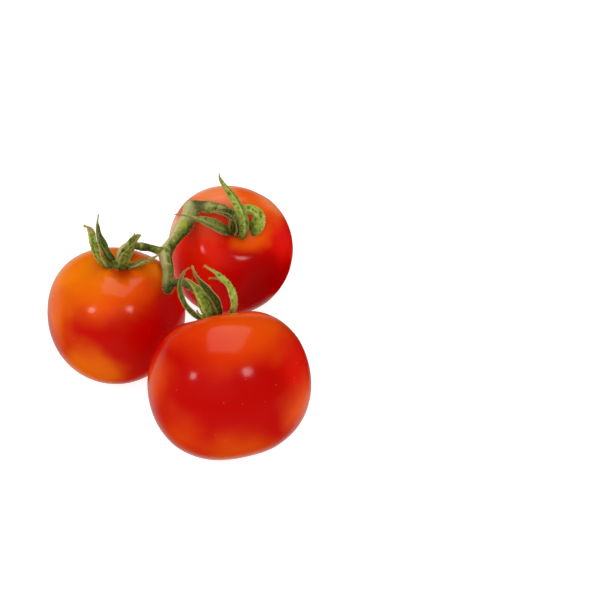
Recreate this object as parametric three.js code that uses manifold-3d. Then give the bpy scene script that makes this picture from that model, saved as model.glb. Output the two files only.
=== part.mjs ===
// A truss of three ripe tomatoes on their vine stem, as picked, lying on a flat surface.
// Millimetres and degrees, +Z up. The origin is the middle of the truss on the surface it lies on.

import * as THREE from 'three';
import { mergeVertices } from 'three/addons/utils/BufferGeometryUtils.js';
import Module from 'manifold-3d';

const wasm = await Module();
wasm.setup();

// Fruits
// Each is given by the point above which its middle sits, its widest radius, half its height from
// blossom end to stem end, and the way its stem end points. Real fruits are a little oval and a
// little three-cornered: swell2 and swell3 say by how much of the radius, and towards which side.
// The dimple at the stem end is given by its depth and reach, as parts of the radius.
const FRUITS = {
  front: {
    over: [22.6, -44.7], radius: 30.7, halfHeight: 28.1, stemEnd: [-0.20, 0.68, 0.70],
    swell2: { amount: 0.009, toward: 54 }, swell3: { amount: 0.018, toward: -16 },
    dimple: { depth: 0.14, reach: 0.36 },
  },
  left: {
    over: [-25.7, 2.4], radius: 28.0, halfHeight: 26.3, stemEnd: [0.136, 0.093, 0.986],
    swell2: { amount: 0.017, toward: -50 }, swell3: { amount: 0.024, toward: 28 },
    dimple: { depth: 0.11, reach: 0.32 },
  },
  back: {
    over: [18.9, 47.8], radius: 27.2, halfHeight: 24.6, stemEnd: [0.256, -0.491, 0.832],
    swell2: { amount: 0.016, toward: -82 }, swell3: { amount: 0.017, toward: 15 },
    dimple: { depth: 0.15, reach: 0.36 },
  },
};
const FULLNESS = 0.92; // below 1 the cheeks are fuller than an ellipse
const SCAR_DEPTH = 0.02; // of the radius, the faint hollow at the blossom end
const SCAR_REACH = 0.22; // of the radius
const SHOULDER_RIBS = 5;
const SHOULDER_RIB_HEIGHT = 0.010; // of the radius
const SHOULDER_RIB_AT = 0.42; // of the radius, from the middle of the stem end
const SHOULDER_RIB_REACH = 0.20; // of the radius
const FRUIT_SIDES = 40;
const FRUIT_RINGS = 26;
const RING_CROWDING = 1.35; // above 1 the rings are closer together at the stem end
const FLAT_SINK = 0.25; // how deep each fruit is pressed flat where it rests
const TABLE = { side: 200, thick: 20 }; // what presses it flat

// Calyxes
// A sepal starts in the collar, heads out at azimuth (0 is the calyx's own right, 90 away), and rises
// over the fruit's skin by the angles rise gives at its root, middle and tip. Past 90 it curls back over
// the middle. sway turns it sideways, twist rolls its blade, cup lifts its edges, as part of its width.
// point, where a sepal has its own, is how fine its point is: below 1 it stays broad for longer.
const SEPALS = {
  front: [
    { azimuth: 200, length: 28, width: 3.2, rise: [25, 76, 158], sway: -3, twist: 40, cup: 0.6 },
    { azimuth: 236, length: 20, width: 6.8, rise: [46, 72, 32], sway: -21, twist: 0, cup: 0.5 },
    { azimuth: 286, length: 27, width: 4.6, rise: [40, 45, 90], sway: -85, twist: -20, cup: 0.8 },
    { azimuth: 345, length: 28, width: 5.0, rise: [7, 107, 142], sway: 10, twist: -45, cup: 0.4 },
    { azimuth: 14, length: 24, width: 3.6, rise: [12, 100, 176], sway: 0, twist: 0, cup: 0.5 },
    { azimuth: 112, length: 17, width: 5.0, rise: [14, 20, 60], sway: 10, twist: 0, cup: 0.5 },
  ],
  left: [
    { azimuth: 200, length: 25.5, width: 7.8, rise: [6, 72, 66], sway: 4, twist: 25, cup: 0.4, point: 0.5 },
    { azimuth: 143, length: 23, width: 5, rise: [12, 57, 122], sway: -11, twist: 40, cup: 0.6, point: 1.8 },
    { azimuth: 305, length: 22, width: 6.8, rise: [58, 71, 52], sway: 20, twist: 62, cup: 0.9, point: 0.7 },
    { azimuth: 355, length: 15.5, width: 5.8, rise: [12, 34, 54], sway: 0, twist: -30, cup: 0.5 },
    { azimuth: 70, length: 14, width: 5.0, rise: [16, 36, 30], sway: 10, twist: 0, cup: 0.5 },
  ],
  back: [
    { azimuth: 272, length: 37, width: 4.6, rise: [53, 161, 92], sway: 70, twist: 0, cup: 0.4 },
    { azimuth: 350, length: 22, width: 6.8, rise: [36, 24, 4], sway: 310, twist: 25, cup: 0.4, point: 0.6 },
    { azimuth: 126, length: 11, width: 5.4, rise: [10, 6, -10], sway: 0, twist: 0, cup: 0.5 },
    { azimuth: 205, length: 32, width: 7.0, rise: [46, 76, -46], sway: -26, twist: 0, cup: 0.5 },
    { azimuth: 196, length: 33, width: 5.8, rise: [24, 36, -36], sway: -28, twist: 0, cup: 0.4, point: 2.6 },
  ],
};
const SEPAL_SIDES = 8;
const SEPAL_STEPS = 14;
const SEPAL_THICK = { root: 1.3, tip: 0.6 };
const SEPAL_TIP_WIDTH = 0.7;
const SEPAL_ROOT_WIDTH = 0.7; // of the full width
const SEPAL_WIDEST_AT = 0.36; // of the length
const SEPAL_POINT = 1.0; // of a sepal with no point of its own
const SEPAL_ROOT_CUP = 0.3; // of the full cup
const SEPAL_START = { radius: 2.5, height: 0.8 }; // inside the collar
const COLLAR = { radius: 3.9, height: 2.0, underside: -1.6, foot: 0.9, shoulder: 0.6, top: 0.62 };
const COLLAR_SIDES = 16;

// Stem
// Routes are points on the middle line, in the truss's own frame. Joints are swellings: at is the
// part of the route's length, add the extra radius, reach half the joint's length in millimetres.
// A fruit stalk ends in line with its fruit, through points the arrival heights above the collar.
const STALK = {
  route: [
    [-2.3, -9.2, 47.0], [-2.7, -2.9, 48.0], [-3.4, 5.1, 48.0], [-5.2, 15.4, 47.6], [-2.0, 24.5, 48.6],
    [1.2, 31.7, 50.0], [3.6, 38.6, 52.2], [3.8, 41.4, 56.0],
  ],
  radius: [2.1, 2.2, 2.3, 2.9, 2.4, 2.6, 3.5, 3.2],
  joints: [{ at: 0.0, add: 0.5, reach: 2.5 }, { at: 0.74, add: 0.8, reach: 3.0 }],
  steps: 26,
};
const FRUIT_STALKS = {
  front: {
    route: [
      [-2.7, -4.3, 47.4], [1.2, -5.6, 48.8], [4.8, -8.2, 50.4], [9.2, -14.6, 52.0], [12.8, -18.6, 52.4],
    ],
    radius: [1.8, 1.5, 1.5, 1.5, 1.5, 1.5, 1.7],
    joints: [{ at: 0.30, add: 0.5, reach: 1.8 }],
    arrival: [5.0, 2.6],
    steps: 16,
  },
  left: {
    route: [[-5.2, 15.4, 47.6], [-10.4, 13.4, 51.6], [-14.9, 9.8, 55.2], [-18.6, 7.4, 57.4]],
    radius: [2.1, 1.6, 1.4, 1.5, 1.6, 1.7],
    joints: [{ at: 0.42, add: 0.5, reach: 2.0 }],
    arrival: [5.0, 2.6],
    steps: 16,
  },
  back: {
    route: [
      [3.6, 38.6, 52.2], [4.9, 40.6, 53.8], [8.6, 39.8, 54.2], [13.3, 39.2, 54.0], [18.0, 38.6, 53.2],
    ],
    radius: [2.5, 2.4, 2.0, 2.0, 1.8, 1.5, 1.4],
    joints: [{ at: 0.34, add: 0.7, reach: 2.0 }],
    arrival: [3.4, 1.6],
    steps: 18,
  },
};
const STALK_SIDES = 10;
const STALK_END = { rounding: 0.6, narrowest: 0.6 }; // parts of the radius
const GAP = 0.3; // between pieces that touch
const SKIN_CLEARANCE = 0.35; // between a fruit's skin and its calyx
const WELD = 1e-4;

const SKINS = { front: 0xd92a06, left: 0xe24d0c, back: 0xcf1c05 };
const SKIN_ROUGHNESS = 0.28;
const LEAF = { color: 0x5c7a2c, roughness: 0.62, metalness: 0 };
const BARK = { color: 0x7c8f45, roughness: 0.66, metalness: 0 };

const UP = new THREE.Vector3(0, 0, 1);

// Solids: a closed geometry joined and cut as a manifold, and back
function toSolid(geometry) {
  const bare = geometry.clone();
  bare.deleteAttribute('normal');
  bare.deleteAttribute('uv');
  const welded = mergeVertices(bare, WELD);
  const index = welded.index.array;
  const kept = [];
  for (let i = 0; i < index.length; i += 3) {
    const [a, b, c] = [index[i], index[i + 1], index[i + 2]];
    if (a !== b && b !== c && c !== a) kept.push(a, b, c);
  }
  return new wasm.Manifold(new wasm.Mesh({
    numProp: 3,
    vertProperties: new Float32Array(welded.attributes.position.array),
    triVerts: new Uint32Array(kept),
  }));
}

function toGeometry(solid) {
  const mesh = solid.getMesh();
  const geometry = new THREE.BufferGeometry();
  geometry.setAttribute('position', new THREE.BufferAttribute(new Float32Array(mesh.vertProperties), 3));
  geometry.setIndex(new THREE.BufferAttribute(new Uint32Array(mesh.triVerts), 1));
  geometry.computeVertexNormals();
  return geometry;
}

function largestPiece(solid) {
  return solid.decompose().reduce((best, piece) => (piece.volume() > best.volume() ? piece : best));
}

function reshape(geometry, place) {
  const position = geometry.attributes.position;
  const point = new THREE.Vector3();
  for (let i = 0; i < position.count; i += 1) {
    point.fromBufferAttribute(position, i);
    place(point);
    position.setXYZ(i, point.x, point.y, point.z);
  }
  return geometry;
}

// Axes of a fruit: Z out of its stem end, X as near the truss's own X as it can be
function axesOf(stemEnd) {
  const z = new THREE.Vector3(...stemEnd).normalize();
  const x = new THREE.Vector3(1, 0, 0).addScaledVector(z, -z.x).normalize();
  return new THREE.Matrix4().makeBasis(x, new THREE.Vector3().crossVectors(z, x), z);
}

const fuller = (value) => Math.sign(value) * Math.abs(value) ** FULLNESS;
const hill = (distance, reach) => Math.exp(-((distance / reach) ** 2));

function fruitGeometry({ radius, halfHeight, swell2, swell3, dimple }) {
  const profile = [];
  for (let ring = FRUIT_RINGS; ring >= 0; ring -= 1) {
    const angle = Math.PI * (ring / FRUIT_RINGS) ** RING_CROWDING;
    const onAxis = ring === 0 || ring === FRUIT_RINGS;
    const out = onAxis ? 0 : radius * fuller(Math.sin(angle));
    profile.push(new THREE.Vector2(out, halfHeight * fuller(Math.cos(angle))));
  }
  const geometry = new THREE.LatheGeometry(profile, FRUIT_SIDES).rotateX(Math.PI / 2);
  return reshape(geometry, (point) => {
    const around = Math.atan2(point.y, point.x);
    const turn = ({ toward }) => around - THREE.MathUtils.degToRad(toward);
    const oval = swell2.amount * Math.cos(2 * turn(swell2));
    const corners = swell3.amount * Math.cos(3 * turn(swell3));
    point.x *= 1 + oval + corners;
    point.y *= 1 + oval + corners;
    const out = Math.hypot(point.x, point.y) / radius;
    if (point.z > 0) {
      const rib = SHOULDER_RIB_HEIGHT * Math.cos(SHOULDER_RIBS * turn(swell3));
      point.z += radius * rib * hill(out - SHOULDER_RIB_AT, SHOULDER_RIB_REACH);
      point.z -= radius * dimple.depth * hill(out, dimple.reach);
    } else {
      point.z += radius * SCAR_DEPTH * hill(out, SCAR_REACH);
    }
  });
}

// A fruit in place: its solid, the same solid grown by the clearance that the calyx keeps,
// and the frame of its calyx seat
function makeFruit(spec) {
  const axes = axesOf(spec.stemEnd);
  const geometry = fruitGeometry(spec).applyMatrix4(axes);
  geometry.computeBoundingBox();
  const middle = new THREE.Vector3(...spec.over, -geometry.boundingBox.min.z - FLAT_SINK);
  const grow = 1 + SKIN_CLEARANCE / spec.radius;
  const grown = toSolid(geometry.clone().scale(grow, grow, grow).translate(middle.x, middle.y, middle.z));
  const whole = toSolid(geometry.translate(middle.x, middle.y, middle.z));
  const table = new THREE.BoxGeometry(TABLE.side, TABLE.side, TABLE.thick).translate(0, 0, -TABLE.thick / 2);
  const seat = new THREE.Vector3(0, 0, spec.halfHeight - spec.dimple.depth * spec.radius);
  seat.applyMatrix4(axes).add(middle);
  return { solid: whole.subtract(toSolid(table)), grown, seat: axes.clone().setPosition(seat) };
}

// Runs a closed cylinder along a chain of frames. section gives a ring point's sideways and
// upward offsets for the part of the length and the angle round the ring.
function sweep(sides, frames, section) {
  const steps = frames.length - 1;
  const geometry = new THREE.CylinderGeometry(1, 1, 1, sides, steps);
  return reshape(geometry, (point) => {
    const along = point.y + 0.5;
    const { centre, across, up } = frames[Math.round(along * steps)];
    const onRing = Math.hypot(point.x, point.z) > 0.5;
    const [sideways, upward] = onRing ? section(along, Math.atan2(point.z, point.x)) : [0, 0];
    point.copy(centre).addScaledVector(across, sideways).addScaledVector(up, upward);
  });
}

// The three rises as a smooth curve through root, middle and tip
function riseAt([root, middle, tip], along) {
  const nearRoot = (1 - along) * (1 - 2 * along);
  const nearTip = along * (2 * along - 1);
  return root * nearRoot + middle * 4 * along * (1 - along) + tip * nearTip;
}

function sepalFrames({ azimuth, length, rise, sway, twist }) {
  const rad = THREE.MathUtils.degToRad;
  const waysAt = (along) => {
    const heading = rad(azimuth + sway * along);
    const angle = rad(riseAt(rise, along));
    const outward = new THREE.Vector3(Math.cos(heading), Math.sin(heading), 0);
    return {
      forward: outward.clone().multiplyScalar(Math.cos(angle)).addScaledVector(UP, Math.sin(angle)),
      inner: outward.multiplyScalar(-Math.sin(angle)).addScaledVector(UP, Math.cos(angle)),
    };
  };
  const centre = new THREE.Vector3(SEPAL_START.radius, 0, SEPAL_START.height);
  centre.applyAxisAngle(UP, rad(azimuth));
  const frames = [];
  for (let step = 0; step <= SEPAL_STEPS; step += 1) {
    const { forward, inner } = waysAt(step / SEPAL_STEPS);
    inner.applyAxisAngle(forward, rad(twist * (step / SEPAL_STEPS)));
    const across = new THREE.Vector3().crossVectors(forward, inner);
    frames.push({ centre: centre.clone(), across, up: inner });
    centre.addScaledVector(waysAt((step + 0.5) / SEPAL_STEPS).forward, length / SEPAL_STEPS);
  }
  return frames;
}

// Half the blade's width: a narrow root, widest a third of the way, then a long fine point
function halfWidth({ width, point = SEPAL_POINT }, along) {
  const swelling = Math.sin((Math.PI / 2) * Math.min(1, along / SEPAL_WIDEST_AT));
  const narrowing = Math.cos((Math.PI / 2) * Math.max(0, (along - SEPAL_WIDEST_AT) / (1 - SEPAL_WIDEST_AT)));
  const root = SEPAL_ROOT_WIDTH + (1 - SEPAL_ROOT_WIDTH) * swelling;
  return Math.max(SEPAL_TIP_WIDTH, width * root * narrowing ** point) / 2;
}

function makeSepal(spec) {
  const section = (along, around) => {
    const half = halfWidth(spec, along);
    const thick = THREE.MathUtils.lerp(SEPAL_THICK.root, SEPAL_THICK.tip, along);
    const opening = SEPAL_ROOT_CUP + (1 - SEPAL_ROOT_CUP) * Math.min(1, along / SEPAL_WIDEST_AT);
    const lift = spec.cup * opening * half * Math.cos(around) ** 2;
    return [half * Math.cos(around), (thick / 2) * Math.sin(around) + lift];
  };
  return toSolid(sweep(SEPAL_SIDES, sepalFrames(spec), section));
}

function makeCalyx(sepals, fruit) {
  const { radius, height, underside, foot, shoulder, top } = COLLAR;
  const profile = [
    [0, underside], [radius * foot, underside], [radius, 0], [radius * foot, height * shoulder],
    [radius * top, height], [0, height],
  ].map(([out, up]) => new THREE.Vector2(out, up));
  const collar = toSolid(new THREE.LatheGeometry(profile, COLLAR_SIDES).rotateX(Math.PI / 2));
  const whole = sepals.reduce((solid, spec) => solid.add(makeSepal(spec)), collar);
  return largestPiece(whole.transform(fruit.seat.elements).subtract(fruit.grown));
}

// Radii along a stalk: the listed ones evenly spread, with its joints' swellings and rounded ends
function stalkRadius({ radius, joints }, along, length, roundEnd) {
  const place = along * (radius.length - 1);
  const from = Math.min(Math.floor(place), radius.length - 2);
  let size = THREE.MathUtils.lerp(radius[from], radius[from + 1], place - from);
  for (const joint of joints) size += joint.add * hill((along - joint.at) * length, joint.reach);
  const rounding = STALK_END.rounding * size;
  const toEnd = Math.min(along, roundEnd ? 1 - along : 1) * length;
  if (toEnd >= rounding) return size;
  const bulge = Math.sqrt(1 - (1 - toEnd / rounding) ** 2);
  return size * THREE.MathUtils.lerp(STALK_END.narrowest, 1, bulge);
}

function makeStalk(spec, route, roundEnd) {
  const curve = new THREE.CatmullRomCurve3(route, false, 'centripetal');
  const length = curve.getLength();
  const { tangents, normals } = curve.computeFrenetFrames(spec.steps, false);
  const frames = tangents.map((tangent, step) => ({
    centre: curve.getPointAt(step / spec.steps),
    across: normals[step],
    up: new THREE.Vector3().crossVectors(normals[step], tangent),
  }));
  const section = (along, around) => {
    const size = stalkRadius(spec, along, length, roundEnd);
    return [size * Math.cos(around), size * Math.sin(around)];
  };
  return toSolid(sweep(STALK_SIDES, frames, section));
}

function makeStem(fruits) {
  const points = (route) => route.map((point) => new THREE.Vector3(...point));
  let stem = makeStalk(STALK, points(STALK.route), true);
  for (const [name, spec] of Object.entries(FRUIT_STALKS)) {
    const arrival = [...spec.arrival, GAP].map(
      (height) => new THREE.Vector3(0, 0, COLLAR.height + height).applyMatrix4(fruits[name].seat),
    );
    stem = stem.add(makeStalk(spec, [...points(spec.route), ...arrival], false));
  }
  return largestPiece(stem);
}

function addPiece(group, name, solid, material) {
  const mesh = new THREE.Mesh(toGeometry(solid), material);
  mesh.name = name;
  group.add(mesh);
}

const truss = new THREE.Group();
const fruits = {};
for (const [name, spec] of Object.entries(FRUITS)) {
  fruits[name] = makeFruit(spec);
  const skin = { color: SKINS[name], roughness: SKIN_ROUGHNESS, metalness: 0 };
  addPiece(truss, `fruit_${name}`, fruits[name].solid, new THREE.MeshStandardMaterial(skin));
}
for (const [name, sepals] of Object.entries(SEPALS)) {
  addPiece(truss, `calyx_${name}`, makeCalyx(sepals, fruits[name]), new THREE.MeshStandardMaterial(LEAF));
}
addPiece(truss, 'stem', makeStem(fruits), new THREE.MeshStandardMaterial(BARK));

export default truss;
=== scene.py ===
# A truss of three ripe tomatoes on their vine stem: skins, calyxes, stem and hairs.
import math

import bpy
import numpy as np
from mathutils import Matrix, Vector


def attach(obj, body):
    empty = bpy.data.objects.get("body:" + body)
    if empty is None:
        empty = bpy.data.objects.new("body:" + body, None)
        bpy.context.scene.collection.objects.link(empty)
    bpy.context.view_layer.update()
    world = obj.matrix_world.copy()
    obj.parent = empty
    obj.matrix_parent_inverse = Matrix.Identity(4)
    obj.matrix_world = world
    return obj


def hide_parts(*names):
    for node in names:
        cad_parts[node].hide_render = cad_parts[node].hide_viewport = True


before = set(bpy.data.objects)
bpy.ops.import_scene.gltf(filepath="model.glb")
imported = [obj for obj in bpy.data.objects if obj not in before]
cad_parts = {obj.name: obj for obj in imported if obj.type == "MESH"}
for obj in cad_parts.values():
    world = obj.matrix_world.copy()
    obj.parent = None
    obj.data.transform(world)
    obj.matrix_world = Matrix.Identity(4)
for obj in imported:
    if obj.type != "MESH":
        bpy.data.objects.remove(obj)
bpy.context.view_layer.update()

MM = 0.001

# Fruits: the middle of each on the table, its widest radius and half height, the way its stem end
# points, and where its calyx sits, as the CAD has them, in millimetres
FRUITS = {
    "front": {"middle": (22.6, -44.7, 30.25), "radius": 30.7, "half_height": 28.1,
              "stem_end": (-0.20, 0.68, 0.70), "seat": (17.82, -28.45, 46.97)},
    "left": {"middle": (-25.7, 2.4, 26.03), "radius": 28.0, "half_height": 26.3,
             "stem_end": (0.136, 0.093, 0.986), "seat": (-22.54, 4.56, 48.93)},
    "back": {"middle": (18.9, 47.8, 25.92), "radius": 27.2, "half_height": 24.6,
             "stem_end": (0.256, -0.491, 0.832), "seat": (24.16, 37.72, 43.0)},
}
FRUIT_CUTS = 15            # cuts across each side of the box that a fruit is rounded from
# Passes that round the skin off. Each takes a little off its radius, which the swell makes up for
SKIN_SMOOTHING = {"front": 100, "left": 70, "back": 260}
GUIDE_SWELL = {"least": 0.25, "a_pass": 0.0042}
SKIN_WAVES = {"size": 13.0, "height": 0.32}
SKIN_CREASE = 40           # degrees, so that the flat spot a fruit lies on keeps its edge

# Sepals: a straight one is drawn once, then copied and bent as each grows. Angles in degrees,
# lengths in millimetres, the same terms as in the CAD: rise at root, middle and tip, sway sideways,
# twist of the blade, cup of its edges, how fine its point is where it has its own. hook is how much
# further the tip curls, dry how far it withered, dark how much painted shade darkens a sepal that
# lies in shade.
SEPALS = {
    "front": [
        {"azimuth": 200, "length": 28, "width": 3.2, "rise": (25, 76, 158), "sway": -3, "twist": 40,
         "cup": 0.6, "hook": 10, "dry": 0.0, "dark": 0.6},
        {"azimuth": 236, "length": 20, "width": 6.8, "rise": (46, 72, 32), "sway": -21, "twist": 0,
         "cup": 0.5, "hook": 0, "dry": 0.0, "dark": 0},
        {"azimuth": 286, "length": 27, "width": 4.6, "rise": (40, 45, 90), "sway": -85,
         "twist": -20, "cup": 0.8, "hook": 0, "dry": 0.0, "dark": 0.75},
        {"azimuth": 345, "length": 28, "width": 5.0, "rise": (7, 107, 142), "sway": 10,
         "twist": -45, "cup": 0.4, "hook": -10, "dry": 0.1, "dark": 0.1},
        {"azimuth": 14, "length": 24, "width": 3.6, "rise": (12, 100, 176), "sway": 0, "twist": 0,
         "cup": 0.5, "hook": 10, "dry": 0.1, "dark": 0.2},
        {"azimuth": 112, "length": 17, "width": 5.0, "rise": (14, 20, 60), "sway": 10, "twist": 0,
         "cup": 0.5, "hook": 30, "dry": 0.0, "dark": 0.5},
    ],
    "left": [
        {"azimuth": 200, "length": 25.5, "width": 7.8, "rise": (6, 72, 66), "sway": 4, "twist": 25,
         "cup": 0.4, "hook": -100, "dry": 0.0, "dark": 0, "point": 0.5},
        {"azimuth": 143, "length": 23, "width": 5, "rise": (12, 57, 122), "sway": -11, "twist": 40,
         "cup": 0.6, "hook": -60, "dry": 0.0, "dark": 0.65, "point": 1.8},
        {"azimuth": 305, "length": 22, "width": 6.8, "rise": (58, 71, 52), "sway": 20, "twist": 62,
         "cup": 0.9, "hook": 0, "dry": 0.1, "dark": 0.5, "point": 0.7},
        {"azimuth": 355, "length": 15.5, "width": 5.8, "rise": (12, 34, 54), "sway": 0,
         "twist": -30, "cup": 0.5, "hook": 0, "dry": 0.3, "dark": 0.15},
        {"azimuth": 70, "length": 14, "width": 5.0, "rise": (16, 36, 30), "sway": 10, "twist": 0,
         "cup": 0.5, "hook": 30, "dry": 0.0, "dark": 0.5},
    ],
    "back": [
        {"azimuth": 272, "length": 37, "width": 4.6, "rise": (53, 161, 92), "sway": 70, "twist": 0,
         "cup": 0.4, "hook": 0, "dry": 0.1, "dark": 0.15},
        {"azimuth": 350, "length": 22, "width": 6.8, "rise": (36, 24, 4), "sway": 310, "twist": 25,
         "cup": 0.4, "hook": 0, "dry": 0.0, "dark": 0.05, "point": 0.6},
        {"azimuth": 126, "length": 11, "width": 5.4, "rise": (10, 6, -10), "sway": 0, "twist": 0,
         "cup": 0.5, "hook": 0, "dry": 0.0, "dark": 0.5},
        {"azimuth": 205, "length": 32, "width": 7.0, "rise": (46, 76, -46), "sway": -26, "twist": 0,
         "cup": 0.5, "hook": 0, "dry": 0.0, "dark": 0.85},
        {"azimuth": 196, "length": 33, "width": 5.8, "rise": (24, 36, -36), "sway": -28, "twist": 0,
         "cup": 0.4, "hook": 0, "dry": 0.25, "dark": 0.45, "point": 2.6},
    ],
}
# The straight sepal. midrib and groove are parts of its half thickness, widest_at of its length
BLADE = {"length": 24.0, "width": 6.0, "sides": 16, "steps": 24, "root_thick": 1.3,
         "tip_thick": 0.45, "tip_width": 0.5, "root_width": 0.7, "widest_at": 0.36, "point": 1.0,
         "midrib": 0.7, "groove": 0.45}
ROOT_CUP = 0.3             # of the full cup, at the root
START = {"radius": 2.5, "height": 0.8}
HOOK_FROM = 0.82           # of the length
INNER_FACE_FROM = 0.12     # above the blade's middle
RIPPLE = {"height": 0.22, "waves": 3.4}
COLLAR = {"radius": 3.9, "half_height": 2.4, "height": 0.1}
# The collar takes its colour as a sepal's root does, the painted shade of a root and of a shaded
# sepal with it
COLLAR_NOTES = {"along": 0.1, "edge": 0.4, "inner_face": 0.3, "dry": 0.0, "dark": 0.3}

# Stem
STEM_VOXEL = 0.36
STEM_SMOOTHING = 8         # passes
STEM_LUMPS = {"size": 3.2, "height": 0.3}
DRIED_AND_LIT_SIDE = (-0.75, -0.25, 0.6)            # the way the dried side faces, which painted light makes paler still; painted shade darkens the other side
BUD = {"at": (1.0, 29.6, 50.6), "radius": 2.0}      # a small sleeping side bud above the last joint

# Hairs: the real ones are 0.03 mm thick and would be lost in the picture, so they are drawn thicker
HAIR = {"root": 0.04, "tip": 0.012, "sides": 3}
STEM_HAIRS = {"count": 3600, "lengths": (0.3, 0.9), "lean": 0.55, "seed": 3}
BLADE_HAIRS = {"count": 380, "lengths": (0.25, 0.7), "lean": 0.5, "seed": 5}
COLLAR_HAIRS = {"count": 300, "lengths": (0.3, 0.8), "lean": 0.5, "seed": 7}
ANY_WAY = (0.31, 0.62, 0.72)    # a way that nothing is square to: it orders faces and turns hairs

# Camera: it looks down on the truss from the front, as the photograph does
CAMERA = {"look_at": (49.4, 45.65, 0.0), "distance": 583.0, "elevation": 38.0, "lens": 78.26}


# Selecting and finishing
def only(piece):
    """Leaves one object selected and active."""
    bpy.ops.object.select_all(action="DESELECT")
    piece.select_set(True)
    bpy.context.view_layer.objects.active = piece
    return piece


def added(name):
    """Names the primitive that was just added and leaves it alone selected."""
    piece = only(bpy.context.object)
    piece.name = name
    return piece


def apply_modifier(piece, kind, **settings):
    """Adds a modifier with its settings and applies it."""
    only(piece)
    modifier = piece.modifiers.new(kind.title(), kind)
    for key, value in settings.items():
        setattr(modifier, key, value)
    bpy.ops.object.modifier_apply(modifier=modifier.name)


def set_in_place(piece):
    """Moves a piece's place into its mesh, so that its object sits at the origin."""
    only(piece)
    bpy.ops.object.transform_apply(location=True, rotation=True, scale=True)


def smooth(piece, angle=60):
    """Shades a piece smoothly, but for edges sharper than the angle in degrees."""
    only(piece)
    bpy.ops.object.shade_smooth_by_angle(angle=math.radians(angle))


def points_of(piece):
    """The places of a mesh's points, as an array."""
    flat = np.zeros(len(piece.data.vertices) * 3)
    piece.data.vertices.foreach_get("co", flat)
    return flat.reshape(-1, 3)


def move_points(piece, places):
    """Moves a mesh's points to the places given."""
    piece.data.vertices.foreach_set("co", np.asarray(places).reshape(-1))
    piece.data.update()


def note_on_points(piece, name, values):
    """Writes a number for each point, which the materials read as an attribute."""
    note = piece.data.attributes.new(name, "FLOAT", "POINT")
    note.data.foreach_set("value", np.asarray(values, dtype=np.float32))


def join(pieces, name):
    """Joins pieces into the first one, under a new name."""
    only(pieces[0])
    for piece in pieces[1:]:
        piece.select_set(True)
    bpy.ops.object.join()
    pieces[0].name = name
    return pieces[0]


def merged_copy(node, name):
    """A copy of a CAD node's mesh as an object of its own, its corners merged."""
    copy = bpy.data.objects.new(name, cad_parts[node].data.copy())
    bpy.context.scene.collection.objects.link(copy)
    copy.data.materials.clear()
    only(copy)
    bpy.ops.object.mode_set(mode="EDIT")
    bpy.ops.mesh.select_all(action="SELECT")
    bpy.ops.mesh.remove_doubles(threshold=0.002 * MM)
    bpy.ops.mesh.tris_convert_to_quads()
    bpy.ops.object.mode_set(mode="OBJECT")
    return copy


def axes_of(stem_end):
    """A fruit's axes: Z out of its stem end, X as near the truss's own X as it can be."""
    z = Vector(stem_end).normalized()
    x = (Vector((1, 0, 0)) - z * z.x).normalized()
    return Matrix((x, z.cross(x), z)).transposed()


# Materials
def srgb(code):
    """A colour as a screen shows it, in the linear light that the shaders mix."""
    parts = [int(code[i:i + 2], 16) / 255 for i in (1, 3, 5)]
    linear = [c / 12.92 if c <= 0.04045 else ((c + 0.055) / 1.055) ** 2.4 for c in parts]
    return (*linear, 1.0)


def add_node(tree, kind, settings=(), links=(), outputs=()):
    """Adds a node, sets its own properties and its sockets' values, and joins what feeds it."""
    node = tree.nodes.new(kind)
    for key, value in dict(settings).items():
        if isinstance(key, str) and hasattr(node, key):
            setattr(node, key, value)
        else:
            node.inputs[key].default_value = value
    for socket, source in dict(links).items():
        tree.links.new(source, node.inputs[socket])
    for socket, value in dict(outputs).items():
        node.outputs[socket].default_value = value
    return node


def new_material(name):
    """An empty node material with its surface shader, ready to be given a finish."""
    material = bpy.data.materials.new(name)
    material.use_nodes = True
    tree = material.node_tree
    tree.nodes.clear()
    shader = add_node(tree, "ShaderNodeBsdfPrincipled")
    add_node(tree, "ShaderNodeOutputMaterial", links={"Surface": shader.outputs[0]})
    return material, tree, shader


def blend_patch(tree, place, colour, patch):
    """Blends a patch's colour in round the point it sits at, and returns the colour that comes out.
    Inside full the patch is all there is, at reach it has faded out."""
    away = add_node(tree, "ShaderNodeVectorMath", {"operation": "DISTANCE", 1: patch["at"]},
                    {0: place})
    amount = add_node(tree, "ShaderNodeMapRange",
                      {"interpolation_type": "SMOOTHSTEP", "From Min": patch["full"],
                       "From Max": patch["reach"], "To Min": patch.get("strength", 1.0),
                       "To Max": 0.0},
                      {"Value": away.outputs["Value"]})
    mix = add_node(tree, "ShaderNodeMix", {"data_type": "RGBA", 7: srgb(patch["colour"])},
                   {0: amount.outputs[0], 6: colour})
    return mix.outputs[2]


def lay_over(tree, colour, layers):
    """Lays colours over one another: each shows where its source goes from low to high."""
    for source, low, high, strength, code in layers:
        amount = add_node(tree, "ShaderNodeMapRange",
                          {"interpolation_type": "SMOOTHSTEP", "From Min": low, "From Max": high,
                           "To Min": 0.0, "To Max": strength}, {"Value": source})
        mix = add_node(tree, "ShaderNodeMix", {"data_type": "RGBA", 7: srgb(code)},
                       {0: amount.outputs[0], 6: colour})
        colour = mix.outputs[2]
    return colour
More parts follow.
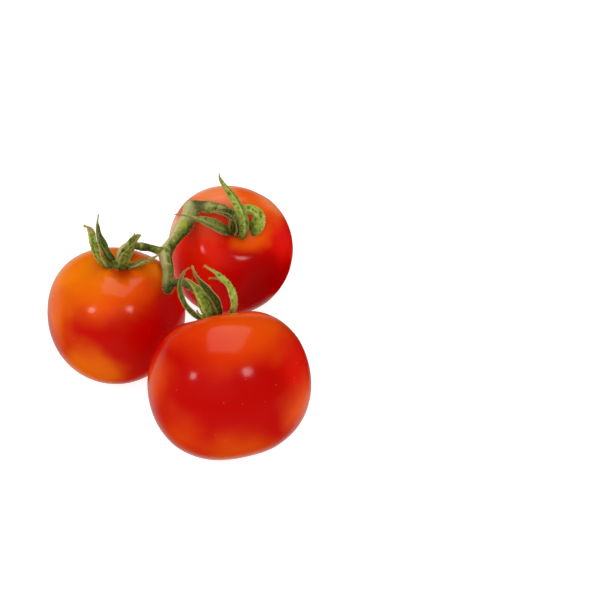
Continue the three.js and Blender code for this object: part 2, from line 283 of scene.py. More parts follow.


# The flesh shows through the thin waxy skin, so a ripe fruit is orange where it had less sun and
# deep red where it is ripest. Some patches are painted light, painted shade and painted reflections
# instead, each marked where it stands. at is the way out from the fruit's middle, full and reach
# are radii
GROUND = {"front": "#B60400", "left": "#B80800", "back": "#C00300"}
BLUSHES_AND_PAINTED_LIGHT = {
    "front": [
        {"at": (0.00, 0.05, 1.00), "full": 0.4, "reach": 0.86, "colour": "#D43000"},
        {"at": (0.25, 0.20, 0.95), "full": 0.2, "reach": 0.8, "colour": "#E04A00"},
        # Painted light: a brighter red on the right side, which the lamps leave dimmer
        {"at": (0.90, -0.10, 0.42), "full": 0.15, "reach": 0.6, "colour": "#D41000"},
        # Painted light: a bright pale orange on the right rim, where the skin catches the light
        {"at": (0.94, -0.42, 0.05), "full": 0.0, "reach": 0.52, "colour": "#E8581C",
         "strength": 0.85},
        {"at": (-0.84, -0.40, 0.38), "full": 0.02, "reach": 0.45, "colour": "#D04000"},
        {"at": (0.10, -0.90, -0.42), "full": 0.15, "reach": 0.7, "colour": "#CC4200"},
        {"at": (-0.55, -0.83, -0.05), "full": 0.05, "reach": 0.45, "colour": "#C83400"},
    ],
    "left": [
        {"at": (0.10, -0.35, 0.93), "full": 0.3, "reach": 0.85, "colour": "#E04C00"},
        {"at": (-0.48, 0.15, 0.86), "full": 0.3, "reach": 1.05, "colour": "#E87400"},
        {"at": (-0.80, -0.45, 0.40), "full": 0.1, "reach": 0.55, "colour": "#DC5C00"},
        {"at": (-0.33, -0.90, -0.28), "full": 0.25, "reach": 0.65, "colour": "#D25A00"},
        # Orange skin, brightened further with painted light where the stem's shadow falls
        {"at": (0.62, 0.22, 0.75), "full": 0.15, "reach": 0.6, "colour": "#E87000"},
        # Deeper red on the right side, partly painted shade where the front fruit shades it
        {"at": (0.90, -0.40, 0.15), "full": 0.3, "reach": 0.9, "colour": "#C40000"},
        # Painted shade: dark red on the skin round the calyx's base
        {"at": (0.08, -0.04, 0.82), "full": 0.14, "reach": 0.3, "colour": "#A81C00",
         "strength": 0.75},
    ],
    "back": [
        {"at": (0.90, -0.10, 0.40), "full": 0.2, "reach": 0.7, "colour": "#D81008"},
        {"at": (0.25, 0.35, 0.90), "full": 0.35, "reach": 0.9, "colour": "#E85C0C"},
        {"at": (0.38, -0.50, 0.79), "full": 0.2, "reach": 0.5, "colour": "#EA5600"},
        # Painted reflection: pale pink at the upper right rim
        {"at": (0.60, 0.42, 0.68), "full": 0.05, "reach": 0.4, "colour": "#EE8454"},
        # Painted light: a brighter red over the left side, which the stem and calyx shade
        {"at": (-0.70, -0.50, 0.50), "full": 0.4, "reach": 1.0, "colour": "#F01E04"},
        # Painted reflection: pale pink at the top rim, left of the stem
        {"at": (-0.30, 0.30, 0.90), "full": 0.15, "reach": 0.5, "colour": "#F28450"},
        # Painted light: a paler red at the upper left, in the stem's shade
        {"at": (-0.40, -0.34, 0.85), "full": 0.1, "reach": 0.45, "colour": "#F04A28"},
        # Painted reflection: pale pink at the left rim
        {"at": (-0.88, -0.05, 0.47), "full": 0.05, "reach": 0.36, "colour": "#F4A890"},
        # Painted shade: dark red low down, where the back fruit meets the front one
        {"at": (0.60, -0.76, -0.24), "full": 0.3, "reach": 0.85, "colour": "#900000"},
    ],
}
# Painted shade on the shine: black takes the shine away low on the back fruit, where the front
# fruit shades it
SHADED_SHINE = {"back": {"at": (0.85, -0.50, -0.15), "full": 0.3, "reach": 0.75, "colour": "#000000"}}
SPECKS = {"apart": 4.6, "radius": 0.32, "colour": "#E87A3A", "strength": 0.4}
# The corky scar under the fruit, where the flower sat
SCAR = {"full": 0.035, "reach": 0.07, "colour": "#7A4A22"}
# How far uneven growth pushes the patches about, in radii, and how often along one
DRIFT = {"scale": 1.7, "amount": 0.5}


def tomato_skin(name):
    """Ripe tomato skin: a smooth clear waxy cuticle over juicy flesh, which gives clean soft
    highlights, a colour that glows a little from inside, and a few pale breathing spots. Some of
    its colour patches are painted light, painted shade and painted reflections, and painted shade
    takes its shine away where a neighbour shades it."""
    fruit = FRUITS[name]
    radius = fruit["radius"] * MM
    material, tree, shader = new_material(f"ripe_tomato_skin_{name}")
    place = add_node(tree, "ShaderNodeTexCoord")
    middle = [-c / fruit["radius"] for c in fruit["middle"]]
    out = add_node(tree, "ShaderNodeMapping", {"Location": middle, "Scale": (1 / radius,) * 3},
                   {"Vector": place.outputs["Object"]})
    drift = add_node(tree, "ShaderNodeTexNoise",
                     {"Scale": DRIFT["scale"], "Detail": 2.0, "Roughness": 0.5},
                     {"Vector": out.outputs[0]})
    drift_way = add_node(tree, "ShaderNodeVectorMath",
                         {"operation": "MULTIPLY_ADD", 1: (DRIFT["amount"],) * 3,
                          2: (-DRIFT["amount"] / 2,) * 3},
                         {0: drift.outputs["Color"]})
    drifted = add_node(tree, "ShaderNodeVectorMath", {"operation": "ADD"},
                       {0: out.outputs[0], 1: drift_way.outputs[0]})
    colour = add_node(tree, "ShaderNodeRGB", outputs={0: srgb(GROUND[name])}).outputs[0]
    for skin_patch in BLUSHES_AND_PAINTED_LIGHT[name]:
        colour = blend_patch(tree, drifted.outputs[0], colour, skin_patch)
    scar = {"at": [-c * fruit["half_height"] / fruit["radius"]
                   for c in Vector(fruit["stem_end"]).normalized()], **SCAR}
    colour = blend_patch(tree, out.outputs[0], colour, scar)
    cells = add_node(tree, "ShaderNodeTexVoronoi", {"Scale": fruit["radius"] / SPECKS["apart"]},
                     {"Vector": out.outputs[0]})
    speck_size = SPECKS["radius"] / SPECKS["apart"]
    speck = add_node(tree, "ShaderNodeMapRange",
                     {"interpolation_type": "SMOOTHSTEP", "From Min": speck_size * 0.5,
                      "From Max": speck_size, "To Min": SPECKS["strength"], "To Max": 0.0},
                     {"Value": cells.outputs["Distance"]})
    skin = add_node(tree, "ShaderNodeMix", {"data_type": "RGBA", 7: srgb(SPECKS["colour"])},
                    {0: speck.outputs[0], 6: colour})
    tree.links.new(skin.outputs[2], shader.inputs["Base Color"])
    shader.inputs["Roughness"].default_value = 0.15
    shader.inputs["IOR"].default_value = 1.42
    # Painted shade: the shine is taken away where the front fruit shades the back one
    if name in SHADED_SHINE:
        shine_level = add_node(tree, "ShaderNodeRGB", outputs={0: (0.5, 0.5, 0.5, 1.0)}).outputs[0]
        shine_level = blend_patch(tree, out.outputs[0], shine_level, SHADED_SHINE[name])
        tree.links.new(shine_level, shader.inputs["Specular IOR Level"])
    shader.inputs["Subsurface Weight"].default_value = 0.1
    shader.inputs["Subsurface Radius"].default_value = (1.0, 0.2, 0.1)
    shader.inputs["Subsurface Scale"].default_value = 2 * MM
    return material


SEPAL_MOTTLES = 1.4        # millimetres across
SEPAL_GRAIN = 7.0          # ridges from edge to edge
SEPAL_COLOURS = {"outer": "#94AA36", "light": "#C8D080", "inner": "#263402", "midrib": "#BCC66C",
                 "rim": "#D8CB98", "tip": "#A08B4C", "dry": "#C4B682", "shade": "#2E3A04",
                 "deep": "#263202"}


def sepal_tissue():
    """Tomato sepal: a thin soft hairy leaf, matt, with a pale midrib and a pale rim, the rim partly
    a painted highlight. Its inner face is a deeper green, deepened further with painted shade, and
    painted shade darkens one half of its fold, its root and the sepals that lie in shade. It is
    browned at the tip and beige where it has dried."""
    material, tree, shader = new_material("tomato_sepal")
    notes = {note: add_node(tree, "ShaderNodeAttribute", {"attribute_name": note}).outputs["Fac"]
             for note in ("along", "edge", "inner_face", "dry", "dark")}
    place = add_node(tree, "ShaderNodeTexCoord")
    mottle = add_node(tree, "ShaderNodeTexNoise",
                      {"Scale": 1 / (SEPAL_MOTTLES * MM), "Detail": 3.0},
                      {"Vector": place.outputs["Object"]})
    from_middle = add_node(tree, "ShaderNodeMath", {"operation": "ABSOLUTE"}, {0: notes["edge"]})
    colour = add_node(tree, "ShaderNodeRGB", outputs={0: srgb(SEPAL_COLOURS["outer"])}).outputs[0]
    colour = lay_over(tree, colour, [
        (mottle.outputs[0], 0.5, 0.32, 0.6, SEPAL_COLOURS["light"]),
        (mottle.outputs[0], 0.48, 0.70, 0.75, SEPAL_COLOURS["shade"]),
        # Painted shade: one half of the folded blade is darker
        (notes["edge"], 0.05, -0.35, 0.45, SEPAL_COLOURS["shade"]),
        # Painted shade: sepals that lie in shade are darkened all over
        (notes["dark"], 0.0, 1.0, 1.0, SEPAL_COLOURS["deep"]),
        # The inner face is a deeper green, deepened further with painted shade
        (notes["inner_face"], 0.35, 0.65, 0.85, SEPAL_COLOURS["inner"]),
        (notes["dry"], 0.0, 1.0, 1.0, SEPAL_COLOURS["dry"]),
        (from_middle.outputs[0], 0.22, 0.04, 0.35, SEPAL_COLOURS["midrib"]),
        # A pale rim, partly the margin's own colour and partly a painted highlight where light
        # catches it
        (from_middle.outputs[0], 0.86, 1.02, 0.65, SEPAL_COLOURS["rim"]),
        (notes["along"], 0.7, 1.0, 0.75, SEPAL_COLOURS["tip"]),
        # Painted shade: the roots darken where the sepals crowd together at the calyx
        (notes["along"], 0.28, 0.04, 0.75, SEPAL_COLOURS["inner"]),
    ])
    tree.links.new(colour, shader.inputs["Base Color"])
    grain_way = add_node(tree, "ShaderNodeCombineXYZ", links={0: notes["edge"], 1: notes["along"]})
    grain = add_node(tree, "ShaderNodeTexNoise", {"Scale": SEPAL_GRAIN, "Detail": 2.0},
                     {"Vector": grain_way.outputs[0]})
    relief = add_node(tree, "ShaderNodeBump", {"Strength": 0.6, "Distance": 0.25 * MM},
                      {"Height": grain.outputs[0]})
    tree.links.new(relief.outputs[0], shader.inputs["Normal"])
    shader.inputs["Roughness"].default_value = 0.55
    shader.inputs["Specular IOR Level"].default_value = 0.15
    shader.inputs["Subsurface Weight"].default_value = 0.1
    shader.inputs["Subsurface Radius"].default_value = (0.5, 1.0, 0.2)
    shader.inputs["Subsurface Scale"].default_value = 0.5 * MM
    return material


STEM_MOTTLES = 2.2         # millimetres across
STEM_DOTS = 1.7            # millimetres apart
# Stem colours at places on the stem, in millimetres
STEM_PATCHES = [
    {"at": (3.4, 36.0, 54.5), "full": 2.0, "reach": 7.5, "colour": "#A9AA74", "strength": 0.6},
    {"at": (2.2, 42.0, 55.8), "full": 0.8, "reach": 2.6, "colour": "#3E3A10", "strength": 0.85},
    # Painted shade: dark green on the pedicel
    {"at": (8.0, 41.0, 55.0), "full": 2.4, "reach": 5.2, "colour": "#323A0A", "strength": 0.9},
    {"at": (13.0, 40.5, 53.0), "full": 0.8, "reach": 3.0, "colour": "#A2A056", "strength": 0.7},
    # Painted shade: dark green on the pedicel
    {"at": (17.5, 39.5, 51.0), "full": 2.2, "reach": 5.2, "colour": "#323A0A", "strength": 0.9},
    {"at": (1.2, 29.2, 52.4), "full": 0.8, "reach": 2.8, "colour": "#A4B02A", "strength": 0.85},
    {"at": (9.6, 38.6, 52.6), "full": 0.8, "reach": 2.2, "colour": "#B4BC40", "strength": 0.9},
    {"at": (-2.3, -9.0, 46.5), "full": 2.2, "reach": 6.5, "colour": "#22300A", "strength": 0.9},
    {"at": (-2.6, -1.0, 48.5), "full": 3.0, "reach": 9.0, "colour": "#5A5C18", "strength": 0.6},
    {"at": (4.5, -7.5, 50.0), "full": 4.0, "reach": 8.0, "colour": "#333C08", "strength": 0.85},
    {"at": (10.5, -16.0, 52.0), "full": 5.0, "reach": 9.0, "colour": "#333C08", "strength": 0.85},
]


def vine_stem():
    """Tomato vine: a soft green stalk under a fine fuzz, dried to cream on one side, where painted
    light makes it paler still, with painted shade on the other side and on the pedicel, mottled
    with darker green and small brown dots."""
    material, tree, shader = new_material("tomato_vine_stem")
    place = add_node(tree, "ShaderNodeTexCoord")
    facing = add_node(tree, "ShaderNodeAttribute", {"attribute_name": "dried_and_lit_side"})
    dried_and_lit_side = facing.outputs["Fac"]
    mottle = add_node(tree, "ShaderNodeTexNoise", {"Scale": 1 / (STEM_MOTTLES * MM), "Detail": 4.0},
                      {"Vector": place.outputs["Object"]})
    dots = add_node(tree, "ShaderNodeTexVoronoi", {"Scale": 1 / (STEM_DOTS * MM)},
                    {"Vector": place.outputs["Object"]})
    colour = add_node(tree, "ShaderNodeRGB", outputs={0: srgb("#748628")}).outputs[0]
    colour = lay_over(tree, colour, [
        (mottle.outputs[0], 0.46, 0.3, 0.6, "#BEBC78"),
        (mottle.outputs[0], 0.44, 0.64, 0.85, "#3C460A"),
        # Cream on the dried side, made paler by painted light where that side faces the light
        (dried_and_lit_side, 0.3, 0.9, 0.75, "#D6C690"),
        # Painted shade: dark green on the side away from the light
        (dried_and_lit_side, 0.2, -0.4, 0.9, "#263002"),
        (dots.outputs["Distance"], 0.24, 0.12, 0.7, "#4A3A18"),
    ])
    for patch in STEM_PATCHES:
        placed = {**patch, "at": [c * MM for c in patch["at"]], "full": patch["full"] * MM,
                  "reach": patch["reach"] * MM}
        colour = blend_patch(tree, place.outputs["Object"], colour, placed)
    tree.links.new(colour, shader.inputs["Base Color"])
    relief = add_node(tree, "ShaderNodeBump", {"Strength": 0.5, "Distance": 0.3 * MM},
                      {"Height": mottle.outputs[0]})
    tree.links.new(relief.outputs[0], shader.inputs["Normal"])
    shader.inputs["Roughness"].default_value = 0.6
    shader.inputs["Specular IOR Level"].default_value = 0.3
    return material


def vine_hair():
    """Vine hairs: colourless and fine, so they show as a pale fuzz against the green."""
    material, tree, shader = new_material("tomato_vine_hair")
    shader.inputs["Base Color"].default_value = srgb("#BCC064")
    shader.inputs["Roughness"].default_value = 0.5
    return material


# Hairs
def model_hair(material):
    """One stiff straight hair, a millimetre tall, open where it stands on the skin."""
    bpy.ops.mesh.primitive_cone_add(vertices=HAIR["sides"], radius1=HAIR["root"] * MM,
                                    radius2=HAIR["tip"] * MM, depth=MM, end_fill_type="NOTHING",
                                    location=(0, 0, MM / 2))
    hair = added("vine_hair")
    set_in_place(hair)
    hair.data.materials.append(material)
    return hair


def triangles_in_order(ground):
    """The corners of a mesh's faces, cut into triangles and sorted by place: the faces can be
    numbered another way in each run, and the same hairs have to come out."""
    places = points_of(ground)
    levels = places @ np.array(ANY_WAY)
    triangles = []
    for face in ground.data.polygons:
        ring = list(face.vertices)
        first = min(range(len(ring)), key=lambda corner: levels[ring[corner]])
        ring = ring[first:] + ring[:first]
        triangles += [(ring[0], ring[i], ring[i + 1]) for i in range(1, len(ring) - 1)]
    triangles = np.array(triangles)
    return places[triangles[np.argsort(levels[triangles].sum(axis=1))]]


def sow_hairs(hair, ground, sowing):
    """Copies of the hair at random places all over a piece, as one mesh: thousands of them, so
    their points are laid out together."""
    draw = np.random.default_rng(sowing["seed"])
    places = triangles_in_order(ground)
    normals = np.cross(places[:, 1] - places[:, 0], places[:, 2] - places[:, 0])
    areas = np.linalg.norm(normals, axis=1)
    chosen = draw.choice(len(areas), sowing["count"], p=areas / areas.sum())
    part = draw.random((sowing["count"], 2))
    part = np.where(part.sum(1, keepdims=True) > 1, 1 - part, part)
    first, second, third = (places[chosen, i] for i in range(3))
    roots = first + (second - first) * part[:, :1] + (third - first) * part[:, 1:]
    ways = normals[chosen] / areas[chosen, None]
    ways += draw.normal(0, sowing["lean"], (sowing["count"], 3))
    ways /= np.linalg.norm(ways, axis=1, keepdims=True)
    side = np.cross(ways, ANY_WAY)
    side /= np.linalg.norm(side, axis=1, keepdims=True)
    turned = np.cross(ways, side)
    lengths = draw.uniform(*sowing["lengths"], (sowing["count"], 1, 1))
    shape = points_of(hair)
    laid = (roots[:, None] + side[:, None] * shape[None, :, :1]
            + turned[:, None] * shape[None, :, 1:2] + ways[:, None] * shape[None, :, 2:] * lengths)
    faces = np.array([list(face.vertices) for face in hair.data.polygons])
    every = (faces[None] + (np.arange(sowing["count"]) * len(shape))[:, None, None]).reshape(-1, 4)
    mesh = bpy.data.meshes.new("vine_fuzz")
    mesh.from_pydata(laid.reshape(-1, 3), [], every)
    mesh.materials.append(hair.data.materials[0])
    fuzz = bpy.data.objects.new("vine_fuzz", mesh)
    bpy.context.scene.collection.objects.link(fuzz)
    return fuzz


# Fruits
def round_fruit(name, material):
    """A box rounded to a ball, drawn on to the CAD fruit, with the faint waves of a grown skin."""
    fruit = FRUITS[name]
    middle = Vector(fruit["middle"]) * MM
    radius = fruit["radius"] * MM
    guide = merged_copy(f"fruit_{name}", f"fruit_guide_{name}")
    apply_modifier(guide, "SUBSURF", levels=3, render_levels=3)
    lost = GUIDE_SWELL["least"] + GUIDE_SWELL["a_pass"] * SKIN_SMOOTHING[name]
    swell = 1 + lost / fruit["radius"]
    bpy.ops.object.mode_set(mode="EDIT")
    bpy.ops.mesh.select_all(action="SELECT")
    bpy.ops.transform.resize(value=(swell, swell, swell), center_override=middle)
    bpy.ops.object.mode_set(mode="OBJECT")
    bpy.ops.mesh.primitive_cube_add(size=radius, location=middle)
    skin = added(f"tomato_{name}")
    bpy.ops.object.mode_set(mode="EDIT")
    bpy.ops.mesh.subdivide(number_cuts=FRUIT_CUTS)
    bpy.ops.object.mode_set(mode="OBJECT")
    apply_modifier(skin, "CAST", cast_type="SPHERE", factor=1.0, use_radius_as_size=False,
                   size=radius)
    apply_modifier(skin, "SUBSURF", levels=2, render_levels=2)
    apply_modifier(skin, "SHRINKWRAP", target=guide, wrap_method="PROJECT",
                   use_negative_direction=True, use_positive_direction=True)
    apply_modifier(skin, "SMOOTH", factor=0.5, iterations=SKIN_SMOOTHING[name])
    waves = bpy.data.textures.new(f"skin_waves_{name}", "CLOUDS")
    waves.noise_scale = SKIN_WAVES["size"] * MM
    apply_modifier(skin, "DISPLACE", texture=waves, texture_coords="LOCAL",
                   strength=SKIN_WAVES["height"] * MM, mid_level=0.5)
    set_in_place(skin)
    bpy.ops.object.mode_set(mode="EDIT")
    bpy.ops.mesh.select_all(action="SELECT")
    bpy.ops.mesh.bisect(plane_co=(0, 0, 0), plane_no=(0, 0, 1), clear_inner=True, use_fill=True,
                        threshold=0.001 * MM)
    bpy.ops.object.mode_set(mode="OBJECT")
    smooth(skin, SKIN_CREASE)
    bpy.data.objects.remove(guide)
    skin.data.materials.append(material)
    return skin


# Calyxes
def half_width(width, along, point=BLADE["point"]):
    """Half a sepal's width in millimetres: narrow at the root, widest a third of the way, then
    drawn to a fine point."""
    swelling = np.sin(math.pi / 2 * np.minimum(1, along / BLADE["widest_at"]))
    past = np.maximum(0, (along - BLADE["widest_at"]) / (1 - BLADE["widest_at"]))
    narrowing = np.maximum(0, np.cos(math.pi / 2 * past)) ** point
    root = BLADE["root_width"] + (1 - BLADE["root_width"]) * swelling
    return np.maximum(BLADE["tip_width"], width * root * narrowing) / 2


def model_blade(material):
    """One straight sepal along Y, its outer face down: a ring with the midrib raised on its outer
    face and the groove in its inner one, drawn out step by step to a point."""
    length, steps = BLADE["length"] * MM, BLADE["steps"]
    bpy.ops.mesh.primitive_circle_add(vertices=BLADE["sides"], radius=MM, fill_type="NGON",
                                      rotation=(math.pi / 2, 0, 0))
    blade = added("sepal_blade")
    set_in_place(blade)
    wide = half_width(BLADE["width"], 0.0)
    thick = BLADE["root_thick"] / 2
    for way, depth in ((-1, -BLADE["midrib"]), (1, -BLADE["groove"])):
        move_ring_point(blade, way, depth)
    bpy.ops.object.mode_set(mode="EDIT")
    bpy.ops.mesh.select_all(action="SELECT")
    bpy.ops.transform.resize(value=(wide, 1, thick), center_override=(0, 0, 0))
    for step in range(1, steps + 1):
        along = step / steps
        next_wide = half_width(BLADE["width"], along)
        next_thick = (BLADE["root_thick"] + (BLADE["tip_thick"] - BLADE["root_thick"]) * along) / 2
        bpy.ops.mesh.extrude_region_move(
            TRANSFORM_OT_translate={"value": (0, length / steps, 0)})
        bpy.ops.transform.resize(value=(next_wide / wide, 1, next_thick / thick),
                                 center_override=(0, along * length, 0))
        wide, thick = next_wide, next_thick
    bpy.ops.mesh.select_all(action="SELECT")
    bpy.ops.mesh.normals_make_consistent(inside=False)
    bpy.ops.object.mode_set(mode="OBJECT")
    apply_modifier(blade, "SUBSURF", levels=1, render_levels=1)
    blade.data.materials.append(material)
    return blade


def move_ring_point(ring, way, depth):
    """Moves the ring's lowest (way -1) or highest (way 1) point up by depth, in ring radii."""
    only(ring)
    for vertex in ring.data.vertices:
        vertex.select = vertex.co.z * way > 0.99 * MM
    bpy.ops.object.mode_set(mode="EDIT")
    bpy.ops.transform.translate(value=(0, 0, depth * MM))
    bpy.ops.object.mode_set(mode="OBJECT")


def sepal_ways(spec, along):
    """Which way the sepal heads and which way its inner face looks, at a part of its length."""
    turn = math.radians(spec["azimuth"] + spec["sway"] * along)
    root, middle, tip = spec["rise"]
    angle = (root * (1 - along) * (1 - 2 * along) + middle * 4 * along * (1 - along)
             + tip * along * (2 * along - 1))
    angle += spec["hook"] * max(0, (along - HOOK_FROM) / (1 - HOOK_FROM)) ** 2
    angle = math.radians(angle)
    outward = Vector((math.cos(turn), math.sin(turn), 0))
    upward = Vector((0, 0, 1))
    forward = outward * math.cos(angle) + upward * math.sin(angle)
    return forward, upward * math.cos(angle) - outward * math.sin(angle)


def sepal_frames(spec):
    """Where the sepal's middle line runs in its calyx, with the blade's sideways and inward way."""
    heading = math.radians(spec["azimuth"])
    centre = Vector((START["radius"] * math.cos(heading), START["radius"] * math.sin(heading),
                     START["height"]))
    frames = []
    for step in range(BLADE["steps"] + 1):
        along = step / BLADE["steps"]
        forward, inner = sepal_ways(spec, along)
        inner.rotate(Matrix.Rotation(math.radians(spec["twist"] * along), 3, forward))
        frames.append((centre.copy(), forward.cross(inner), inner))
        onward = sepal_ways(spec, along + 0.5 / BLADE["steps"])[0]
        centre += onward * (spec["length"] / BLADE["steps"])
    return frames


def bend(piece, spec, seat):
    """Lays a copy of the straight sepal, or what grows on it, along a sepal's own line."""
    frames = sepal_frames(spec)
    centres, across, inner = (np.array([f[i] for f in frames]) for i in range(3))
    places = points_of(piece) / MM
    along = np.clip(places[:, 1] / BLADE["length"], 0, 1)
    step = along * BLADE["steps"]
    low = np.minimum(step.astype(int), BLADE["steps"] - 1)
    part = (step - low)[:, None]
    half = half_width(spec["width"], along, spec.get("point", BLADE["point"]))
    sideways = places[:, 0] * half / half_width(BLADE["width"], along)
    opening = ROOT_CUP + (1 - ROOT_CUP) * np.minimum(1, along / BLADE["widest_at"])
    edge = np.clip(sideways / half, -1.3, 1.3)
    wave = np.sin(2 * math.pi * RIPPLE["waves"] * along + spec["azimuth"])
    ripple = RIPPLE["height"] * wave * edge ** 3
    upward = places[:, 2] + spec["cup"] * opening * half * edge ** 2 + ripple
    laid = [values[low] * (1 - part) + values[low + 1] * part
            for values in (centres, across, inner)]
    bent = laid[0] + laid[1] * sideways[:, None] + laid[2] * upward[:, None]
    move_points(piece, (bent @ np.array(seat.to_3x3()).T + np.array(seat.translation) / MM) * MM)
    note_on_points(piece, "along", along)
    note_on_points(piece, "edge", edge)
    note_on_points(piece, "inner_face", np.clip(places[:, 2] / INNER_FACE_FROM, -1, 1) * 0.5 + 0.5)
    # dark is how much painted shade the material lays over the whole sepal
    for note in ("dry", "dark"):
        note_on_points(piece, note, np.full(len(places), spec[note]))


def copy_of(piece):
    """A copy of a piece with a mesh of its own."""
    copy = piece.copy()
    copy.data = piece.data.copy()
    bpy.context.scene.collection.objects.link(copy)
    return copy


def grow_calyx(name, blade, hair, material):
    """The collar of a fruit's calyx with its sepals bent round it, their roots sunk in."""
    fruit = FRUITS[name]
    turned = axes_of(fruit["stem_end"])
    seat = Matrix.Translation(Vector(fruit["seat"]) * MM) @ turned.to_4x4()
    bpy.ops.mesh.primitive_uv_sphere_add(segments=32, ring_count=16, radius=COLLAR["radius"] * MM,
                                         location=seat @ Vector((0, 0, COLLAR["height"] * MM)),
                                         rotation=turned.to_euler(),
                                         scale=(1, 1, COLLAR["half_height"] / COLLAR["radius"]))
    collar = added(f"collar_{name}")
    set_in_place(collar)
    collar.data.materials.append(material)
    collar = join([collar, sow_hairs(hair, collar, COLLAR_HAIRS)], f"collar_{name}")
    for note, value in COLLAR_NOTES.items():
        note_on_points(collar, note, np.full(len(collar.data.vertices), value))
    sepals = []
    for spec in SEPALS[name]:
        sepal = copy_of(blade)
        bend(sepal, spec, seat)
        sepals.append(sepal)
    calyx = join([collar, *sepals], f"leafy_calyx_{name}")
    smooth(calyx)
    return calyx


# Stem
def grow_stem(hair, material):
    """The CAD stem with its branches and side bud blended into one soft hairy skin."""
    stem = merged_copy("stem", "vine_stem")
    bpy.ops.mesh.primitive_uv_sphere_add(segments=24, ring_count=12, radius=BUD["radius"] * MM,
                                         location=Vector(BUD["at"]) * MM)
    bud = added("side_bud")
    set_in_place(bud)
    stem = join([stem, bud], "vine_stem")
    apply_modifier(stem, "REMESH", mode="VOXEL", voxel_size=STEM_VOXEL * MM)
    apply_modifier(stem, "SMOOTH", factor=0.5, iterations=STEM_SMOOTHING)
    lumps = bpy.data.textures.new("stem_lumps", "CLOUDS")
    lumps.noise_scale = STEM_LUMPS["size"] * MM
    apply_modifier(stem, "DISPLACE", texture=lumps, texture_coords="LOCAL",
                   strength=STEM_LUMPS["height"] * MM, mid_level=0.4)
    stem.data.materials.append(material)
    stem = join([stem, sow_hairs(hair, stem, STEM_HAIRS)], "vine_stem")
    # How far each point faces the dried, lit side: the material paints light there and shade
    # opposite
    normals = np.array([vertex.normal for vertex in stem.data.vertices])
    note_on_points(stem, "dried_and_lit_side", normals @ np.array(Vector(DRIED_AND_LIT_SIDE).normalized()))
    smooth(stem)
    return stem


# Studio: two small soft lamps in front and a wide panel overhead, which the glossy skins mirror,
# and four large fills that they don't mirror: one in front, one on the left, and two low behind,
# which brighten the fruits' rims. A pale room lights everything evenly
LAMPS = [
    {"name": "left_lamp", "toward": (-0.59, -0.46, 0.64), "distance": 0.9, "size": (0.15, 0.15),
     "power": 0.4},
    {"name": "right_lamp", "toward": (0.46, -0.47, 0.75), "distance": 0.9, "size": (0.16, 0.16),
     "power": 0.4},
    {"name": "overhead_panel", "toward": (0.04, 0.40, 1.0), "distance": 1.0, "size": (0.64, 0.95),
     "power": 2.2},
    {"name": "front_fill", "toward": (-0.2, -0.75, 0.75), "distance": 1.2, "size": (1.3, 1.0),
     "power": 4.2, "hidden": True},
    {"name": "left_fill", "toward": (-0.95, -0.3, 0.35), "distance": 1.2, "size": (1.0, 1.0),
     "power": 1.2, "hidden": True, "shadow": False},
    {"name": "rim_fill_left", "toward": (-0.75, 0.7, 0.05), "distance": 1.2, "size": (1.0, 1.0),
     "power": 2.2, "hidden": True, "shadow": False},
    {"name": "rim_fill_right", "toward": (0.85, 0.5, 0.05), "distance": 1.2, "size": (1.0, 1.0),
     "power": 1.6, "hidden": True, "shadow": False},
]
ROOM = {"colour": "#FFF7EA", "light": 0.66, "mirrored": 0.52}
TABLE_GLOW = 0.85
# Where the skins mirror the pale sheet: the way's axis, where it is still dark, where it is bright
MIRRORED_SHEET = {"far": ("Y", 0.05, 0.6), "low": ("Z", 0.22, -0.15), "left": ("X", 0.36, -0.05),
                  "steep": ("Z", -0.5, -0.72)}


def lit_white_card():
    """White card lit from below, as a light table: even and matt, with next to no shadow on it."""
    material, tree, shader = new_material("lit_white_card")
    shader.inputs["Base Color"].default_value = srgb("#B4B4B4")
    shader.inputs["Roughness"].default_value = 1.0
    shader.inputs["Specular IOR Level"].default_value = 0.0
    shader.inputs["Emission Color"].default_value = srgb("#FFFFFF")
    shader.inputs["Emission Strength"].default_value = TABLE_GLOW
    return material


def add_lamp(spec):
    """A soft lamp that faces the truss from the way given."""
    way = Vector(spec["toward"]).normalized()
    bpy.ops.object.light_add(type="AREA", location=way * spec["distance"],
                             rotation=way.to_track_quat("Z", "Y").to_euler())
    light = bpy.context.object
    light.name = spec["name"]
    across, deep = spec["size"]
    light.data.shape = "ELLIPSE" if across == deep else "RECTANGLE"
    light.data.size = across
    light.data.size_y = deep
    light.data.energy = spec["power"]
    light.visible_glossy = not spec.get("hidden", False)
    light.data.use_shadow = spec.get("shadow", True)


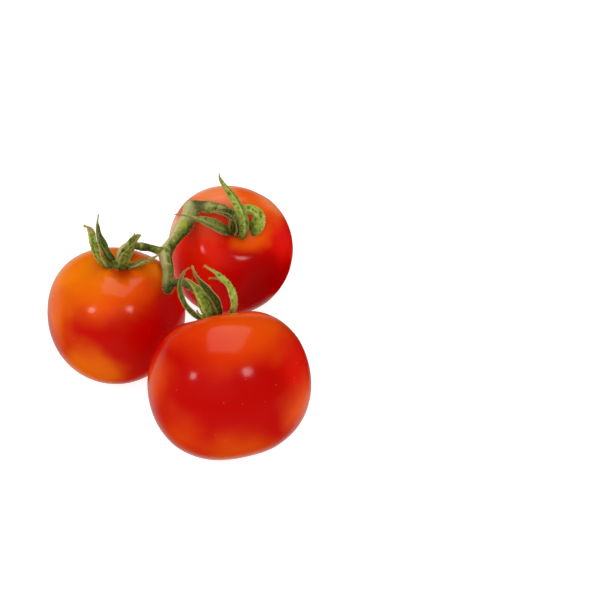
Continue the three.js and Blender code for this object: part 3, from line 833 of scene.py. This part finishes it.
def set_up_studio():
    """The lit table with its lamps, in a pale room that the skins mirror only in part."""
    bpy.ops.mesh.primitive_plane_add(size=8)
    floor = added("floor")
    floor.data.materials.append(lit_white_card())
    floor.visible_glossy = False
    for spec in LAMPS:
        add_lamp(spec)
    scene = bpy.context.scene
    scene.world = bpy.data.worlds.new("room")
    scene.world.use_nodes = True
    tree = scene.world.node_tree
    tree.nodes.clear()
    ray = add_node(tree, "ShaderNodeLightPath")
    way = add_node(tree, "ShaderNodeTexCoord")
    parts = add_node(tree, "ShaderNodeSeparateXYZ", links={0: way.outputs["Generated"]})
    parts = {axis: parts.outputs[axis] for axis in "XYZ"}
    shares = {}
    for part, (axis, dark, bright) in MIRRORED_SHEET.items():
        share = add_node(tree, "ShaderNodeMapRange",
                         {"interpolation_type": "SMOOTHSTEP", "From Min": dark, "From Max": bright},
                         {"Value": parts[axis]})
        shares[part] = share.outputs[0]
    side = add_node(tree, "ShaderNodeMath", {"operation": "MAXIMUM"},
                    {0: shares["left"], 1: shares["steep"]})
    behind = add_node(tree, "ShaderNodeMath", {"operation": "MULTIPLY"},
                      {0: shares["far"], 1: shares["low"]})
    share = add_node(tree, "ShaderNodeMath", {"operation": "MULTIPLY"},
                     {0: side.outputs[0], 1: behind.outputs[0]})
    mirrored = add_node(tree, "ShaderNodeMath", {"operation": "MULTIPLY", 1: ROOM["mirrored"]},
                        {0: share.outputs[0]})
    strength = add_node(tree, "ShaderNodeMix", {2: ROOM["light"]},
                        {0: ray.outputs["Is Glossy Ray"], 3: mirrored.outputs[0]})
    room = add_node(tree, "ShaderNodeBackground", {"Color": srgb(ROOM["colour"])},
                    {"Strength": strength.outputs[0]})
    add_node(tree, "ShaderNodeOutputWorld", links={"Surface": room.outputs[0]})
    scene.view_settings.view_transform = "Standard"


def set_up_camera():
    """Sets the camera up square to the truss, looking down on it."""
    elevation = math.radians(CAMERA["elevation"])
    back = Vector((0, -math.cos(elevation), math.sin(elevation)))
    look_at = Vector(CAMERA["look_at"]) * MM
    bpy.ops.object.camera_add(location=look_at + back * CAMERA["distance"] * MM,
                              rotation=(math.pi / 2 - elevation, 0, 0))
    camera = bpy.context.object
    camera.data.lens = CAMERA["lens"]
    camera.data.sensor_width = 36.0
    camera.data.clip_start = 0.01
    bpy.context.scene.camera = camera


set_up_camera()
set_up_studio()
leaf = sepal_tissue()
hair = model_hair(vine_hair())
blade = model_blade(leaf)
blade = join([blade, sow_hairs(hair, blade, BLADE_HAIRS)], "sepal_blade")
for name in FRUITS:
    skin = round_fruit(name, tomato_skin(name))
    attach(skin, "root")
    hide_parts(f"fruit_{name}")
    calyx = grow_calyx(name, blade, hair, leaf)
    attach(calyx, "root")
    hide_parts(f"calyx_{name}")
stem = grow_stem(hair, vine_stem())
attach(stem, "root")
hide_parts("stem")
bpy.data.objects.remove(blade)
bpy.data.objects.remove(hair)
